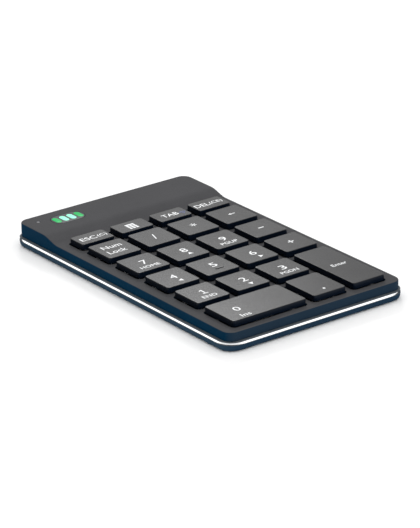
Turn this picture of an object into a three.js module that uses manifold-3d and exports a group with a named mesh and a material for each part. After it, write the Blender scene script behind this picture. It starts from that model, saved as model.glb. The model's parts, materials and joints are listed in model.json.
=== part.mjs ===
// Slim wireless numeric keypad with scissor-switch keys.
//
// Millimetres, +Z up, +Y towards the raised back edge, +X to the right of a person using it.
// The origin is the centre of the footprint, on the surface that the rubber feet stand on.
// From the table up: feet, lower case with a white strip round its rim, switch membrane,
// rubber dome sheet, steel key plate, scissor levers, key caps, and the upper cover round them.
// The raised back bay holds the battery and the circuit board.

import * as THREE from 'three';
import { mergeVertices } from 'three/addons/utils/BufferGeometryUtils.js';
import Module from 'manifold-3d';

const wasm = await Module();
wasm.setup();

// ---------------------------------------------------------------- driving dimensions

// Key layout
const PITCH = 19;
const CAP_WIDTH = 14.8;
const FUNCTION_DEPTH = 8.8;
const BOTTOM_DEPTH = 17.7;
const COLUMN_X = [-1.5 * PITCH, -0.5 * PITCH, 0.5 * PITCH, 1.5 * PITCH];
const FUNCTION_ROW_Y = 36.1;
const NUM_ROW_Y = 20.9;
const BOTTOM_ROW_Y = -56.45;
const TRAVEL = 1.8;

// Case outline, half sizes
const COVER_X = 41.55;
const COVER_Y = 69.6;
const COVER_CORNER = 4.1;
const RIM_OUT = 1.26;
const WALL = 1.4;
const SKIN = 1.2;
const GAP = 0.3;
const SEAM = 0.1;

// How far joined solids run into each other
const OVERLAP = 0.2;

// Heights above the table
const Z_CASE = 0.3;
const Z_FLOOR = 1.5;
const Z_STRIP = [2.75, 3.67];
const Z_LEDGE = 3.97;
const Z_MEMBRANE = [3.4, 3.7];
const Z_SHEET = [3.8, 4.1];
const Z_KEY_PLATE = [4.2, 4.7];
const Z_PLATE_PIVOT = 5.7;
const Z_CAP_PIVOT = 8.1;
const Z_DECK = 7.67;
const Z_HUMP = 9.66;
const Z_CAP_SKIRT = 7.7;
const Z_CAP_INSIDE = 9.0;
const Z_CAP_TOP = 10.09;

// Raised back bay, along Y
const HUMP_FRONT = 50.2;
const SLOPE_FRONT = 43.1;

// Key caps
const CAP_CORNER = 1.3;
const CAP_FLARE = 0.35;
const CAP_WALL = 0.9;
const CAP_HOLLOW_CORNER = 0.6;
const OPENING_CLEARANCE = 0.5;
const OPENING_CORNER = 1.6;
const PLUNGER = { radius: 1.5, foot: 8.6 };

// Scissor levers and the hooks that hold their end bars
const LEVER_REACH = 10;
const LEVER_HALF_WIDTH = 6.2;
const LEVER_BAR = 0.9;
const HOOK_X = 3.6;
const HOOK_SLOT = 1.3;
const HOOK_ARM = 0.4;
const HOOK_THICK = 0.7;

// Narrow switches under the short back row, and the short lever of the tall key
const SMALL_LEVER_HALF_WIDTH = 3.4;
const SMALL_HOOK_X = 1.5;
const ENTER_REACH = 8;

// Stabiliser wires under the two long keys
const WIRE_RADIUS = 0.5;
const WIRE_REACH = 6;
const WIRE_HALF_SPAN = 12.5;
const WIRE_TIP = 2;
const WIRE_BEND = 0.8;
const WIRE_PLATE_HOOK_X = 8.5;
const WIRE_OFFSET = { zero: 6.8, enter: 5.2 };

// Rubber domes
const DOME_RADIUS = 3.4;
const SMALL_DOME_RADIUS = 2.3;
const DOME_GAP = 0.4;
const DOME_WALL = 0.5;
const DOME_CROWN = 1.5;
const DOME_SHOULDER = 4.7;
const DOME_TOP = 8.4;
const DOME_HOLLOW_TOP = 7.5;

// Key plate and the sheets under it, in plan, and the switch film's tail to the board
const PLATE_X = 36.5;
const PLATE_Y = [-66.4, 41.3];
const PLATE_CORNER = 1.5;
const TAIL = { x: [-22, -8], end: 50.5 };

// Fastening points: upper cover bosses and the screw holes below them
const BOSS_X = 38.1;
const BOSS_Y = [-62, -8, 45.3];
const BOSS_RADIUS = 1.3;
const SCREW_RADIUS = 0.9;
const SCREW_HEAD_RADIUS = 1.8;
const SCREW_HEAD_DEPTH = 0.7;

// Rim and the groove in it for the white strip
const RIM_X = COVER_X + RIM_OUT;
const RIM_Y = COVER_Y + RIM_OUT;
const RIM_CORNER = 6.4;
const GROOVE = 1.1;

// Feet, and how deep they sit in the lower case
const FOOT = { halfX: 31, halfY: 3.6, corner: 1.4, y: [-58, 58] };
const FOOT_POCKET = 0.45;

// Posts that press the key plate down, and ribs and posts that stand on the floor
const PRESSER_RADIUS = 0.9;
const RIB = { halfX: 34, halfY: 0.6 };
const BOARD_POST_RADIUS = 1.5;
const BOARD_POSTS = [[-35, 51], [-35, 63], [0, 51], [1, 64]];
const BATTERY_STOP = { x: [7, 8], y: [50, 65], top: 4.0 };

// Parts in the raised bay
const STATUS_LIGHT = { x: -23.5, y: 60.3, halfX: 7.5, halfY: 4.25 };
const CHARGE_LED = { x: -35.5, y: 63.6, radius: 0.7 };
const SOCKET = { x: -10, z: 6.5, halfX: 4.47, halfZ: 1.6, length: 7.3, wall: 0.3 };
const TONGUE = { halfX: 3.35, halfZ: 0.35, reach: 5.4 };
const SWITCH = { x: -29, z: 6.5, halfX: 1.6, halfZ: 0.8, travel: 2, proud: 0.6 };
const SWITCH_FLANGE = { halfX: 2.6, halfZ: 1.3, thick: 0.8 };
const BOARD = { x: [-39.2, 5.5], y: [47.2, 66.6], z: [5.1, 5.9] };
const BATTERY = { x: [9, 38], y: [47.8, 67.4], z: [1.8, 6.3] };

// Parts soldered on top of the board: places, and heights above it
const SOLDERED = {
  controller: { x: [-14, -7], y: [50, 57], height: 1.1 },
  crystal: { x: [-5, -2.5], y: [52, 57], height: 0.9 },
  leftLamp: { x: [-28.5, -25.5], y: [59, 62], height: 1.2 },
  rightLamp: { x: [-21.5, -18.5], y: [59, 62], height: 1.2 },
  chargeLamp: { x: [-36.0, -35.0], y: [62.8, 64.4], height: 0.8 },
  batteryPlug: { x: [0.5, 5], y: [54, 60], height: 1.7 },
  switchHousing: { x: [-31.5, -24.5], y: [63.4, 66.4], height: 1.8 },
};
const TAIL_CONNECTOR_Y = [48, 51];

// ---------------------------------------------------------------- finishes

const FINISH = {
  cover: { color: 0x3c3c3f, roughness: 0.62, metalness: 0 },
  lowerCase: { color: 0x24364a, roughness: 0.55, metalness: 0 },
  cap: { color: 0x58595c, roughness: 0.55, metalness: 0 },
  white: { color: 0xf4f4f2, roughness: 0.35, metalness: 0 },
  lever: { color: 0xd8d8d4, roughness: 0.45, metalness: 0 },
  steel: { color: 0xb4b6b8, roughness: 0.35, metalness: 1 },
  film: { color: 0xc9d0cf, roughness: 0.3, metalness: 0 },
  silicone: { color: 0xd9dad6, roughness: 0.7, metalness: 0 },
  board: { color: 0x1f5a3a, roughness: 0.5, metalness: 0 },
  pouch: { color: 0xc2c5c9, roughness: 0.3, metalness: 0.6 },
  rubber: { color: 0x1b1b1c, roughness: 0.9, metalness: 0 },
  greenLight: { color: 0x3fe08a, roughness: 0.3, metalness: 0 },
  clearLight: { color: 0xe8ece8, roughness: 0.25, metalness: 0 },
};

const keypad = new THREE.Group();

function addPart(name, geometry, finish) {
  const mesh = new THREE.Mesh(geometry, new THREE.MeshStandardMaterial(FINISH[finish]));
  mesh.name = name;
  keypad.add(mesh);
}

// ---------------------------------------------------------------- solid helpers

function solid(geometry) {
  const bare = geometry.clone();
  bare.deleteAttribute('normal');
  bare.deleteAttribute('uv');
  const merged = mergeVertices(bare, 1e-4);
  return new wasm.Manifold(new wasm.Mesh({
    numProp: 3,
    vertProperties: merged.attributes.position.array,
    triVerts: new Uint32Array(merged.index.array),
  }));
}

function geometryOf(manifold) {
  const mesh = manifold.getMesh();
  const geometry = new THREE.BufferGeometry();
  geometry.setAttribute('position', new THREE.BufferAttribute(mesh.vertProperties, 3));
  geometry.setIndex(new THREE.BufferAttribute(mesh.triVerts, 1));
  geometry.computeVertexNormals();
  return geometry;
}

const join = (first, ...others) => others.reduce((sum, other) => sum.add(solid(other)), solid(first));
const joinTo = (body, pieces) => pieces.reduce((sum, piece) => sum.add(solid(piece)), body);
const cutFrom = (body, tools) => tools.reduce((rest, tool) => rest.subtract(solid(tool)), body);

function box([x0, x1], [y0, y1], [z0, z1]) {
  const geometry = new THREE.BoxGeometry(x1 - x0, y1 - y0, z1 - z0);
  return geometry.translate((x0 + x1) / 2, (y0 + y1) / 2, (z0 + z1) / 2);
}

function post(x, y, radius, [z0, z1], sides = 8) {
  const geometry = new THREE.CylinderGeometry(radius, radius, z1 - z0, sides);
  return geometry.rotateX(Math.PI / 2).translate(x, y, (z0 + z1) / 2);
}

// Rounded rectangle about the origin, drawn anticlockwise.
function roundedRect(halfX, halfY, radius) {
  const shape = new THREE.Shape();
  const corners = [[1, 1], [-1, 1], [-1, -1], [1, -1]];
  corners.forEach(([sx, sy], quarter) => {
    const start = quarter * Math.PI / 2;
    shape.absarc(sx * (halfX - radius), sy * (halfY - radius), radius, start, start + Math.PI / 2);
  });
  return shape;
}

// Upright prism on an outline centred on the origin. Each level is [height, inset], bottom first:
// the outline moves towards the centre by the inset, so walls can lean, step and round over.
function prism(shape, levels, curveSegments = 1) {
  const steps = levels.length - 1;
  const options = { depth: steps, steps, bevelEnabled: false, curveSegments };
  const geometry = new THREE.ExtrudeGeometry(shape, options);
  const position = geometry.attributes.position;
  for (let i = 0; i < position.count; i += 1) {
    const [z, inset] = levels[Math.round(position.getZ(i))];
    const x = position.getX(i);
    const y = position.getY(i);
    position.setXYZ(i, x - Math.sign(x) * inset, y - Math.sign(y) * inset, z);
  }
  return geometry;
}

// Side outline in Y and Z, extruded across X about the middle.
function crossPrism(points, width) {
  const shape = new THREE.Shape(points.map(([y, z]) => new THREE.Vector2(y, z)));
  const geometry = new THREE.ExtrudeGeometry(shape, { depth: width, bevelEnabled: false });
  geometry.rotateX(Math.PI / 2).rotateZ(Math.PI / 2);
  return geometry.translate(-width / 2, 0, 0);
}

// Moves a piece drawn about a key's own centre to that key.
const atKey = (key, geometry) => geometry.rotateZ(key.turn).translate(key.x, key.y, 0);

// ---------------------------------------------------------------- keys

// A key's turn rotates its switch in plan. Its lever pivots on the key plate at local y = pivot.
function makeKey(name, x, y, width, depth, extra = {}) {
  const lever = { turn: 0, pivot: LEVER_REACH / 2, reach: LEVER_REACH, halfWidth: LEVER_HALF_WIDTH };
  return { name, x, y, width, depth, hookX: HOOK_X, dome: DOME_RADIUS, ...lever, ...extra };
}

function layOutKeys() {
  const small = {
    turn: Math.PI / 2, halfWidth: SMALL_LEVER_HALF_WIDTH, hookX: SMALL_HOOK_X, dome: SMALL_DOME_RADIUS,
  };
  const functionNames = ['escape', 'calculator', 'tab', 'delete'];
  const gridNames = [
    ['num_lock', 'divide', 'multiply', 'backspace'],
    ['7', '8', '9', 'minus'],
    ['4', '5', '6', 'plus'],
    ['1', '2', '3'],
  ];
  const keys = functionNames.map((name, column) => (
    makeKey(name, COLUMN_X[column], FUNCTION_ROW_Y, CAP_WIDTH, FUNCTION_DEPTH, small)));
  gridNames.forEach((names, row) => names.forEach((name, column) => {
    keys.push(makeKey(name, COLUMN_X[column], NUM_ROW_Y - row * PITCH, CAP_WIDTH, CAP_WIDTH));
  }));

  const zeroX = (COLUMN_X[0] + COLUMN_X[1]) / 2;
  const zeroWire = { wireY: WIRE_OFFSET.zero, wireTurn: 0 };
  keys.push(makeKey('0', zeroX, BOTTOM_ROW_Y, CAP_WIDTH + PITCH, BOTTOM_DEPTH, zeroWire));
  keys.push(makeKey('decimal', COLUMN_X[2], BOTTOM_ROW_Y, CAP_WIDTH, BOTTOM_DEPTH));

  const enterBack = NUM_ROW_Y - 3 * PITCH + CAP_WIDTH / 2;
  const enterFront = BOTTOM_ROW_Y - BOTTOM_DEPTH / 2;
  const enterWire = {
    turn: Math.PI / 2, reach: ENTER_REACH, wireY: WIRE_OFFSET.enter, wireTurn: -Math.PI / 2,
  };
  const enterY = (enterBack + enterFront) / 2;
  keys.push(makeKey('enter', COLUMN_X[3], enterY, CAP_WIDTH, enterBack - enterFront, enterWire));
  return keys;
}

const KEYS = layOutKeys();
const LONG_KEYS = KEYS.filter((key) => key.wireY !== undefined);

// A lever or wire of this horizontal reach: its length, its angle at rest, and how far
// its end slides outwards as the key goes down.
function swing(reach) {
  const rise = Z_CAP_PIVOT - Z_PLATE_PIVOT;
  const length = Math.hypot(reach, rise);
  const slide = Math.sqrt(length ** 2 - (rise - TRAVEL) ** 2) - reach;
  return { length, angle: Math.atan2(rise, reach), slide };
}

// C-shaped hook round a bar at local y and height z. `closed` is the side of its closed end,
// +1 or -1 along y, and `root` is the height of the plate or cap that the hook grows from.
function hook(x, y, z, closed, root, slide = 0) {
  const half = HOOK_SLOT / 2;
  const inner = y + closed * (half + slide);
  const outer = inner + closed * HOOK_ARM;
  const mouth = y - closed * half;
  const side = root > z ? 1 : -1;
  const free = z - side * half;
  const outline = [
    [outer, root], [outer, free - side * HOOK_ARM], [mouth, free - side * HOOK_ARM], [mouth, free],
    [inner, free], [inner, z + side * half], [mouth, z + side * half], [mouth, root],
  ];
  return crossPrism(outline, HOOK_THICK).translate(x, 0, 0);
}

const bothSides = (x, make) => [make(-x), make(x)];

function capHooks(key) {
  const { slide } = swing(key.reach);
  const root = Z_CAP_INSIDE + OVERLAP;
  const end = key.pivot - key.reach;
  return bothSides(key.hookX, (x) => (
    atKey(key, hook(x, end, Z_CAP_PIVOT, -1, root, slide))));
}

function wireHooks(key, x, y, z, closed, root, slide) {
  const wireKey = { ...key, turn: key.wireTurn };
  return bothSides(x, (side) => atKey(wireKey, hook(side, y, z, closed, root, slide)));
}

function keycap(key) {
  const halfX = key.width / 2 + CAP_FLARE;
  const halfY = key.depth / 2 + CAP_FLARE;
  const shoulder = Z_CAP_TOP - 0.25;
  const root = Z_CAP_INSIDE + OVERLAP;
  const outside = prism(
    roundedRect(halfX, halfY, CAP_CORNER),
    [[Z_CAP_SKIRT, 0], [shoulder, CAP_FLARE - 0.1], [Z_CAP_TOP, CAP_FLARE + 0.1]],
  );
  const inside = prism(
    roundedRect(halfX - CAP_WALL, halfY - CAP_WALL, CAP_HOLLOW_CORNER),
    [[Z_CAP_SKIRT - 1, 0], [Z_CAP_SKIRT, 0], [Z_CAP_INSIDE, 0.2]],
  );
  const place = (geometry) => geometry.translate(key.x, key.y, 0);
  const shell = cutFrom(solid(place(outside)), [place(inside)]);
  const plunger = post(key.x, key.y, PLUNGER.radius, [PLUNGER.foot, root]);
  const parts = [...capHooks(key), plunger];
  if (key.wireY !== undefined) {
    const end = key.wireY - WIRE_REACH;
    const { slide } = swing(WIRE_REACH);
    const hookX = WIRE_HALF_SPAN - WIRE_TIP + HOOK_THICK / 2 + OVERLAP;
    parts.push(...wireHooks(key, hookX, end, Z_CAP_PIVOT, -1, root, slide));
  }
  return geometryOf(joinTo(shell, parts));
}

// Open rectangular frame: its back bar turns in the key plate's hooks and its front bar
// slides in the cap's hooks.
function scissorLever(key) {
  const { length, angle } = swing(key.reach);
  const bar = LEVER_BAR;
  const frame = new THREE.Shape();
  const [w, back, front] = [key.halfWidth, bar / 2, -length - bar / 2];
  frame.moveTo(-w, front).lineTo(w, front).lineTo(w, back).lineTo(-w, back).closePath();
  const hole = new THREE.Path();
  hole.moveTo(bar - w, front + bar).lineTo(bar - w, back - bar);
  hole.lineTo(w - bar, back - bar).lineTo(w - bar, front + bar).closePath();
  frame.holes.push(hole);
  const geometry = new THREE.ExtrudeGeometry(frame, { depth: bar, bevelEnabled: false });
  geometry.translate(0, 0, -bar / 2).rotateX(-angle).translate(0, key.pivot, Z_PLATE_PIVOT);
  return atKey(key, geometry);
}

// Bent wire: a long bar turning in the key plate, an arm at each end, and tips turned inwards
// that slide in the cap's hooks.
function stabiliserWire(key) {
  const { length, angle } = swing(WIRE_REACH);
  const bend = WIRE_BEND;
  const half = WIRE_HALF_SPAN;
  const route = new THREE.CurvePath();
  const corner = (from, at, to) => route.add(new THREE.QuadraticBezierCurve3(from, at, to));
  const point = (x, y) => new THREE.Vector3(x, y, 0);
  const tip = half - WIRE_TIP;
  route.add(new THREE.LineCurve3(point(-tip, -length), point(bend - half, -length)));
  corner(point(bend - half, -length), point(-half, -length), point(-half, bend - length));
  route.add(new THREE.LineCurve3(point(-half, bend - length), point(-half, -bend)));
  corner(point(-half, -bend), point(-half, 0), point(bend - half, 0));
  route.add(new THREE.LineCurve3(point(bend - half, 0), point(half - bend, 0)));
  corner(point(half - bend, 0), point(half, 0), point(half, -bend));
  route.add(new THREE.LineCurve3(point(half, -bend), point(half, bend - length)));
  corner(point(half, bend - length), point(half, -length), point(half - bend, -length));
  route.add(new THREE.LineCurve3(point(half - bend, -length), point(tip, -length)));

  const section = new THREE.Shape().absarc(0, 0, WIRE_RADIUS, 0, 2 * Math.PI);
  const steps = 32;
  const geometry = new THREE.ExtrudeGeometry(section, {
    steps, extrudePath: route, curveSegments: 3, bevelEnabled: false,
  });
  geometry.rotateX(-angle).translate(0, key.wireY, Z_PLATE_PIVOT);
  return geometry.rotateZ(key.wireTurn).translate(key.x, key.y, 0);
}

for (const key of KEYS) {
  addPart(`keycap_${key.name}`, keycap(key), 'cap');
  addPart(`scissor_${key.name}`, scissorLever(key), 'lever');
}
for (const key of LONG_KEYS) {
  addPart(`stabiliser_bar_${key.name}`, stabiliserWire(key), 'steel');
}

// ---------------------------------------------------------------- switch stack

const plateHalfY = (PLATE_Y[1] - PLATE_Y[0]) / 2;
const plateMidY = (PLATE_Y[1] + PLATE_Y[0]) / 2;

function sheet([z0, z1]) {
  const outline = roundedRect(PLATE_X, plateHalfY, PLATE_CORNER);
  return prism(outline, [[z0, 0], [z1, 0]]).translate(0, plateMidY, 0);
}

function keyPlate() {
  const [below, above] = [Z_KEY_PLATE[0] - 1, Z_KEY_PLATE[1] + 1];
  const holes = KEYS.map((key) => post(key.x, key.y, key.dome + DOME_GAP, [below, above]));
  const root = Z_KEY_PLATE[1] - OVERLAP;
  const hooks = KEYS.flatMap((key) => bothSides(key.hookX, (x) => (
    atKey(key, hook(x, key.pivot, Z_PLATE_PIVOT, 1, root)))));
  const wires = LONG_KEYS.flatMap((key) => (
    wireHooks(key, WIRE_PLATE_HOOK_X, key.wireY, Z_PLATE_PIVOT, 1, root, 0)));
  const drilled = cutFrom(solid(sheet(Z_KEY_PLATE)), holes);
  return geometryOf(joinTo(drilled, [...hooks, ...wires]));
}

// Solid of revolution about a key's upright axis, from [radius, height] points, lowest first.
function revolved(key, points) {
  const profile = points.map(([radius, z]) => new THREE.Vector2(radius, z));
  return new THREE.LatheGeometry(profile, 8).rotateX(Math.PI / 2).translate(key.x, key.y, 0);
}

// Sheet of rubber domes, hollow and open below, that the caps' plungers press flat.
function domeSheet() {
  const root = Z_SHEET[1] - OVERLAP / 2;
  const domes = KEYS.map(({ dome: radius, ...key }) => revolved(key, [
    [0, root], [radius, root], [radius, DOME_SHOULDER], [DOME_CROWN, DOME_TOP], [0, DOME_TOP],
  ]));
  const below = Z_SHEET[0] - 1;
  const hollows = KEYS.map(({ dome, ...key }) => {
    const radius = dome - DOME_WALL;
    return revolved(key, [
      [0, below], [radius, below], [radius, DOME_SHOULDER - 0.1],
      [DOME_CROWN - DOME_WALL, DOME_HOLLOW_TOP], [0, DOME_HOLLOW_TOP],
    ]);
  });
  return geometryOf(cutFrom(joinTo(solid(sheet(Z_SHEET)), domes), hollows));
}

// Printed switch film with a tail that runs back to the circuit board's connector.
function membrane() {
  const tail = box(TAIL.x, [PLATE_Y[1] - 1, TAIL.end], Z_MEMBRANE);
  return geometryOf(join(sheet(Z_MEMBRANE), tail));
}

addPart('key_plate', keyPlate(), 'steel');
addPart('dome_mat', domeSheet(), 'silicone');
addPart('membrane', membrane(), 'film');

// ---------------------------------------------------------------- case

const bossPlaces = BOSS_Y.flatMap((y) => [[-BOSS_X, y], [BOSS_X, y]]);

// Side view of the cover with its top lowered by `drop` and its ends drawn in by `inset`.
function coverProfile(base, inset, drop) {
  const end = COVER_Y - inset;
  return [
    [-end, base], [end, base], [end, Z_HUMP - drop], [HUMP_FRONT + drop / 2, Z_HUMP - drop],
    [SLOPE_FRONT + drop / 2, Z_DECK - drop], [-end, Z_DECK - drop],
  ];
}

function coverBlank(base, inset, drop) {
  const corner = COVER_CORNER - inset;
  const outline = roundedRect(COVER_X - inset, COVER_Y - inset, corner);
  const column = solid(prism(outline, [[0, 0], [Z_HUMP + 1, 0]], 3));
  return column.intersect(solid(crossPrism(coverProfile(base, inset, drop), 2 * COVER_X + 2)));
}

function keyOpening(key) {
  const grow = CAP_FLARE + OPENING_CLEARANCE;
  const outline = roundedRect(key.width / 2 + grow, key.depth / 2 + grow, OPENING_CORNER);
  return prism(outline, [[Z_DECK - 3, 0], [Z_DECK + 1, 0]]).translate(key.x, key.y, 0);
}

// Rounded slot through the back wall for a part facing +Y, grown by a clearance.
function backSlot(x, z, halfX, halfZ, radius) {
  const outline = roundedRect(halfX, halfZ, radius);
  const tool = prism(outline, [[0, 0], [WALL + 2, 0]], 2);
  return tool.rotateX(-Math.PI / 2).translate(x, COVER_Y - WALL - 1, z);
}

function pill(light, grow, zs) {
  const radius = light.halfY + grow;
  const outline = roundedRect(light.halfX + grow, radius, radius - 0.01);
  return prism(outline, [[zs[0], 0], [zs[1], 0]], 2).translate(light.x, light.y, 0);
}

function upperCover() {
  const zBase = Z_LEDGE + SEAM;
  const deckUnderside = Z_DECK - SKIN + OVERLAP;
  const bosses = bossPlaces.map(([x, y]) => {
    const top = y > SLOPE_FRONT ? Z_DECK - GAP : deckUnderside;
    return post(x, y, BOSS_RADIUS, [Z_FLOOR + GAP, top]);
  });
  const pressers = [-PITCH, 0, PITCH].flatMap((x) => [0.5, 1.5, 2.5].map((n) => (
    post(x, NUM_ROW_Y - n * PITCH, PRESSER_RADIUS, [Z_KEY_PLATE[1] + GAP, deckUnderside]))));
  const pilots = bossPlaces.map(([x, y]) => post(x, y, SCREW_RADIUS - 0.2, [Z_FLOOR, Z_DECK - 2]));
  const slotX = SWITCH.x + SWITCH.travel / 2;
  const slotHalf = SWITCH.halfX + SWITCH.travel / 2 + GAP;
  const windows = [
    pill(STATUS_LIGHT, 0, [Z_DECK, Z_HUMP + 1]),
    post(CHARGE_LED.x, CHARGE_LED.y, CHARGE_LED.radius + 0.1, [Z_DECK, Z_HUMP + 1]),
    backSlot(SOCKET.x, SOCKET.z, SOCKET.halfX + 0.3, SOCKET.halfZ + 0.25, 1.8),
    backSlot(slotX, SWITCH.z, slotHalf, SWITCH.halfZ + 0.25, 0.4),
  ];
  const shell = coverBlank(zBase, 0, 0).subtract(coverBlank(0, WALL, SKIN));
  const fitted = joinTo(shell, [...bosses, ...pressers]);
  return geometryOf(cutFrom(fitted, [...KEYS.map(keyOpening), ...pilots, ...windows]));
}

// Tray with rounded lower edges, a groove round the rim, ribs under the film and screw holes.
function lowerCase() {
  const outside = prism(roundedRect(RIM_X, RIM_Y, RIM_CORNER), [
    [Z_CASE, 1.9], [Z_CASE + 0.25, 1.2], [Z_CASE + 0.7, 0.65], [Z_CASE + 1.35, 0.2],
    [Z_CASE + 2.1, 0.03],
    [Z_STRIP[0] - SEAM, 0], [Z_STRIP[0] - SEAM, GROOVE], [Z_STRIP[1] + SEAM, GROOVE],
    [Z_STRIP[1] + SEAM, 0.1], [Z_LEDGE, 0.1],
  ], 3);
  const corner = COVER_CORNER - WALL;
  const inside = prism(
    roundedRect(COVER_X - WALL, COVER_Y - WALL, corner),
    [[Z_FLOOR, 0], [Z_LEDGE + 1, 0]],
    3,
  );
  const root = Z_FLOOR - OVERLAP;
  const ribs = [-0.5, 0.5, 1.5, 2.5, 3.5].map((n) => {
    const y = NUM_ROW_Y - n * PITCH;
    return box([-RIB.halfX, RIB.halfX], [y - RIB.halfY, y + RIB.halfY], [root, Z_MEMBRANE[0] - SEAM]);
  });
  const boardPosts = BOARD_POSTS.map(([x, y]) => (
    post(x, y, BOARD_POST_RADIUS, [root, BOARD.z[0] - SEAM])));
  const batteryStop = box(BATTERY_STOP.x, BATTERY_STOP.y, [root, BATTERY_STOP.top]);
  const screwHoles = bossPlaces.flatMap(([x, y]) => [
    post(x, y, SCREW_RADIUS + 0.1, [0, Z_FLOOR + 1]),
    post(x, y, SCREW_HEAD_RADIUS, [0, Z_CASE + SCREW_HEAD_DEPTH]),
  ]);
  const pockets = FOOT.y.map((y) => prism(
    roundedRect(FOOT.halfX + SEAM, FOOT.halfY + SEAM, FOOT.corner + SEAM),
    [[0, 0], [Z_CASE + FOOT_POCKET, 0]],
  ).translate(0, y, 0));
  const tray = joinTo(cutFrom(solid(outside), [inside]), [...ribs, ...boardPosts, batteryStop]);
  return geometryOf(cutFrom(tray, [...screwHoles, ...pockets]));
}

function rimStrip() {
  const outline = (inset) => roundedRect(RIM_X - inset, RIM_Y - inset, RIM_CORNER - inset);
  const levels = [[Z_STRIP[0], 0], [Z_STRIP[1], 0]];
  const ring = outline(0);
  ring.holes.push(new THREE.Path(outline(GROOVE - SEAM).getPoints(3).reverse()));
  return prism(ring, levels, 3);
}

function foot(y) {
  const levels = [[0, 0.3], [0.3, 0], [Z_CASE + FOOT_POCKET - SEAM, 0]];
  return prism(roundedRect(FOOT.halfX, FOOT.halfY, FOOT.corner), levels).translate(0, y, 0);
}

addPart('top_cover', upperCover(), 'cover');
addPart('bottom_cover', lowerCase(), 'lowerCase');
addPart('trim_strip', rimStrip(), 'white');
addPart('foot_front', foot(FOOT.y[0]), 'rubber');
addPart('foot_back', foot(FOOT.y[1]), 'rubber');

// ---------------------------------------------------------------- raised bay

// Board with a notch for the charging socket, and the parts soldered to it.
function circuitBoard() {
  const [x0, x1] = BOARD.x;
  const [y0, y1] = BOARD.y;
  const midX = (x0 + x1) / 2;
  const midY = (y0 + y1) / 2;
  const blank = prism(
    roundedRect((x1 - x0) / 2, (y1 - y0) / 2, 3),
    BOARD.z.map((z) => [z, 0]),
  ).translate(midX, midY, 0);
  const notchX = [SOCKET.x - SOCKET.halfX - GAP, SOCKET.x + SOCKET.halfX + GAP];
  const notch = box(notchX, [COVER_Y - SOCKET.length - GAP, y1 + 1], [BOARD.z[0] - 1, BOARD.z[1] + 1]);
  const on = BOARD.z[1] - SEAM;
  const soldered = Object.values(SOLDERED).map(({ x, y, height }) => box(x, y, [on, on + height]));
  const tailConnector = box(TAIL.x, TAIL_CONNECTOR_Y, [Z_MEMBRANE[1] + SEAM, BOARD.z[0] + SEAM]);
  return geometryOf(joinTo(cutFrom(solid(blank), [notch]), [...soldered, tailConnector]));
}

function batteryPack() {
  const [halfX, halfY] = [BATTERY.x, BATTERY.y].map(([low, high]) => (high - low) / 2);
  const [z0, z1] = BATTERY.z;
  const [inset, shoulder, corner] = [0.8, 0.6, 1.5];
  const levels = [[z0, inset], [z0 + shoulder, 0], [z1 - shoulder, 0], [z1, inset]];
  const pouch = prism(roundedRect(halfX, halfY, corner), levels);
  return pouch.translate(BATTERY.x[0] + halfX, BATTERY.y[0] + halfY, 0);
}

// Charging socket: a flat oval metal shell, closed behind, with a contact tongue inside.
function chargeSocket() {
  const { halfX, halfZ, length, wall } = SOCKET;
  const back = 0.8;
  const shell = prism(roundedRect(halfX, halfZ, halfZ - 0.05), [[0, 0], [length, 0]], 2);
  const hollow = prism(
    roundedRect(halfX - wall, halfZ - wall, halfZ - wall - 0.05),
    [[back, 0], [length + 1, 0]],
    2,
  );
  const across = (half) => [-half, half];
  const tongue = box(across(TONGUE.halfX), across(TONGUE.halfZ), [back - OVERLAP, TONGUE.reach]);
  const body = joinTo(cutFrom(solid(shell), [hollow]), [tongue]);
  const geometry = geometryOf(body).rotateX(-Math.PI / 2);
  return geometry.translate(SOCKET.x, COVER_Y - length, SOCKET.z);
}

// Sliding power switch: a retaining flange inside the wall and a small grip outside it.
function powerSwitch() {
  const inner = COVER_Y - WALL - GAP;
  const back = inner - SWITCH_FLANGE.thick;
  const block = ({ halfX, halfZ }, ys) => box(
    [SWITCH.x - halfX, SWITCH.x + halfX],
    ys,
    [SWITCH.z - halfZ, SWITCH.z + halfZ],
  );
  const grip = block(SWITCH, [back + OVERLAP, COVER_Y + SWITCH.proud]);
  return geometryOf(join(grip, block(SWITCH_FLANGE, [back, inner])));
}

// Light windows: each has a flange below the cover's skin and a face flush with its top.
function lightWindow(face, flange) {
  return geometryOf(join(face, flange));
}

const Z_WINDOW = Z_HUMP + 0.04;
const Z_UNDER_SKIN = Z_HUMP - SKIN - SEAM;
const statusFace = pill(STATUS_LIGHT, -SEAM, [Z_UNDER_SKIN - 0.2, Z_WINDOW]);
const statusFlange = pill(STATUS_LIGHT, 0.8, [Z_UNDER_SKIN - 0.6, Z_UNDER_SKIN]);
const { x: ledX, y: ledY, radius: ledRadius } = CHARGE_LED;
const ledFace = post(ledX, ledY, ledRadius, [Z_UNDER_SKIN - 0.2, Z_WINDOW]);
const ledFlange = post(ledX, ledY, ledRadius + 0.5, [Z_UNDER_SKIN - 0.5, Z_UNDER_SKIN]);

addPart('circuit_board', circuitBoard(), 'board');
addPart('battery', batteryPack(), 'pouch');
addPart('charge_socket', chargeSocket(), 'steel');
addPart('power_switch', powerSwitch(), 'cover');
addPart('status_light_window', lightWindow(statusFace, statusFlange), 'greenLight');
addPart('charge_light_window', lightWindow(ledFace, ledFlange), 'clearLight');

export default keypad;
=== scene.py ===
"""Looks of the slim wireless numeric keypad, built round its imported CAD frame.

Blender 4.5. Every length is in metres in the frame's axes: +Z up, +Y towards the raised back bay.
"""

import json
import math

import bmesh
import bpy
from mathutils import Matrix, Vector

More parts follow.
